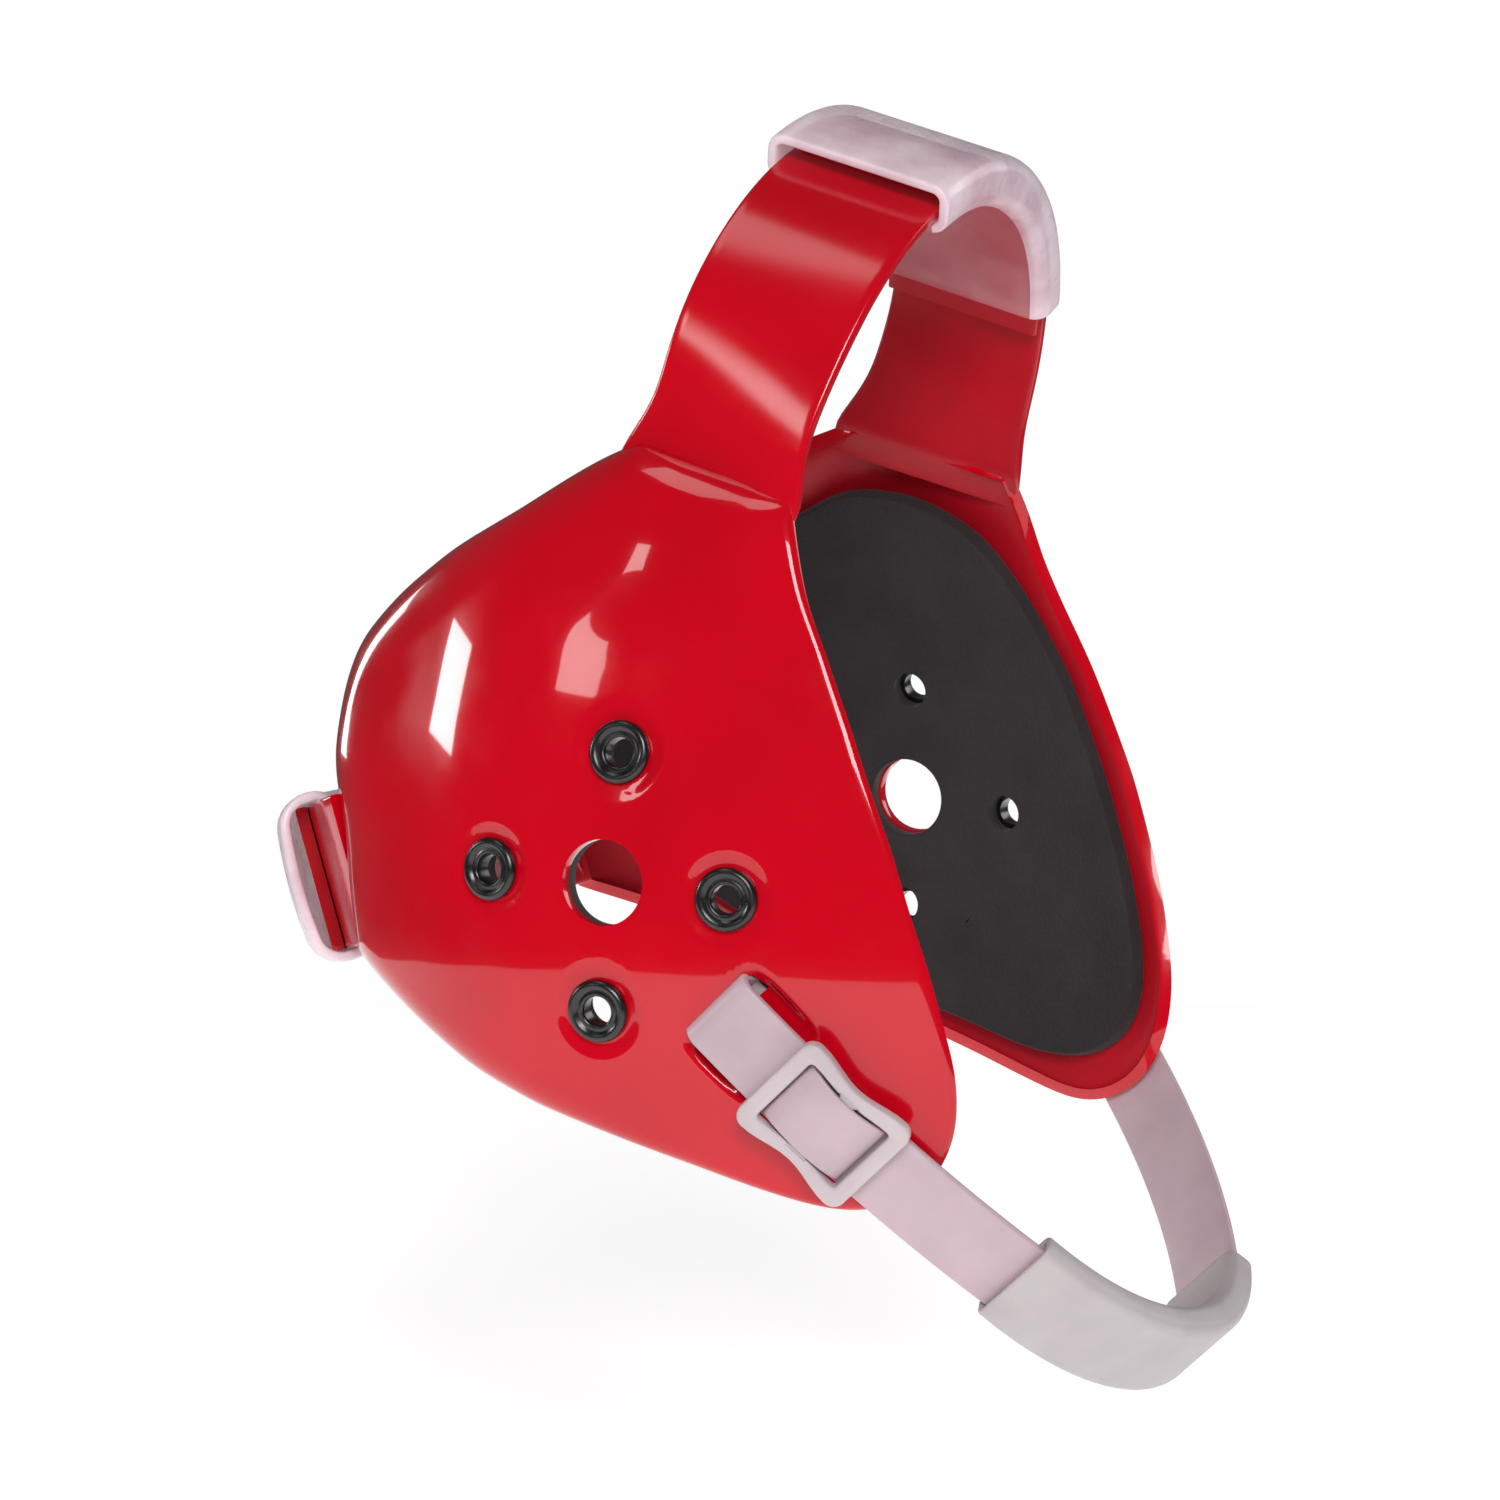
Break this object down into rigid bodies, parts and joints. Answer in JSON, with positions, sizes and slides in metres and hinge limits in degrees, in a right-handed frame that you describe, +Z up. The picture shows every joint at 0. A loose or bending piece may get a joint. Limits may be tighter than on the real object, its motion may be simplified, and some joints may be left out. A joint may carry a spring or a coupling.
{
  "type": "wrestling headgear",
  "caption": "Wrestling headgear with two moulded ear guards on padded cups, joined by a crown strap, a rear strap and a buckled chin strap, each strap in a sliding sleeve",
  "frame": {"origin": "midway between the two ear holes, on the wearer's ear-canal line", "axes": "+X wearer's forward, +Y wearer's left, +Z up"},
  "size_m": [0.2029, 0.1522, 0.2444],
  "materials": {
    "red_vinyl": "glossy dip-moulded vinyl",
    "black_foam": "matt closed-cell foam",
    "black_metal": "gloss black lacquer",
    "frosted_vinyl": "frosted clear vinyl",
    "white_vinyl": "satin moulded vinyl"
  },
  "bodies": {
    "headgear": {"right_shell": "red_vinyl", "right_ear_pad": "black_foam", "right_crown_strap": "red_vinyl", "right_rear_strap": "red_vinyl", "right_chin_keeper": "white_vinyl", "right_eyelet_top": "black_metal", "right_eyelet_front": "black_metal", "right_eyelet_bottom": "black_metal", "right_eyelet_rear": "black_metal", "right_washer_top": "black_metal", "right_washer_front": "black_metal", "right_washer_bottom": "black_metal", "right_washer_rear": "black_metal", "left_shell": "red_vinyl", "left_ear_pad": "black_foam", "left_crown_strap": "red_vinyl", "left_rear_strap": "red_vinyl", "left_chin_keeper": "white_vinyl", "left_eyelet_top": "black_metal", "left_eyelet_front": "black_metal", "left_eyelet_bottom": "black_metal", "left_eyelet_rear": "black_metal", "left_washer_top": "black_metal", "left_washer_front": "black_metal", "left_washer_bottom": "black_metal", "left_washer_rear": "black_metal", "chin_strap": "white_vinyl"},
    "crown_sleeve": {"crown_sleeve": "frosted_vinyl"},
    "rear_sleeve": {"rear_sleeve": "frosted_vinyl"},
    "chin_sleeve": {"chin_sleeve": "white_vinyl"},
    "chin_buckle": {"chin_buckle": "white_vinyl", "chin_strap_hump": "white_vinyl"}
  },
  "joints": [
    {"name": "crown_sleeve_slide", "type": "hinge", "parent": "headgear", "child": "crown_sleeve", "pos_m": [0.01513, 0, 0.08361], "axis": [0.9563, 0, -0.2924], "range_deg": [-8, 10]},
    {"name": "rear_sleeve_slide", "type": "hinge", "parent": "headgear", "child": "rear_sleeve", "pos_m": [-0.04495, 0, 0.00226], "axis": [-0.2924, 0, 0.9563], "range_deg": [-8, 8]},
    {"name": "chin_sleeve_slide", "type": "hinge", "parent": "headgear", "child": "chin_sleeve", "pos_m": [0.05829, -0.005, -0.05882], "axis": [-0.722, 0, -0.6919], "range_deg": [-4, 4]},
    {"name": "chin_buckle_slide", "type": "slide", "parent": "headgear", "child": "chin_buckle", "axis": [0.6586, 0.3063, -0.6873], "range_m": [-0.004, 0.006]}
  ]
}
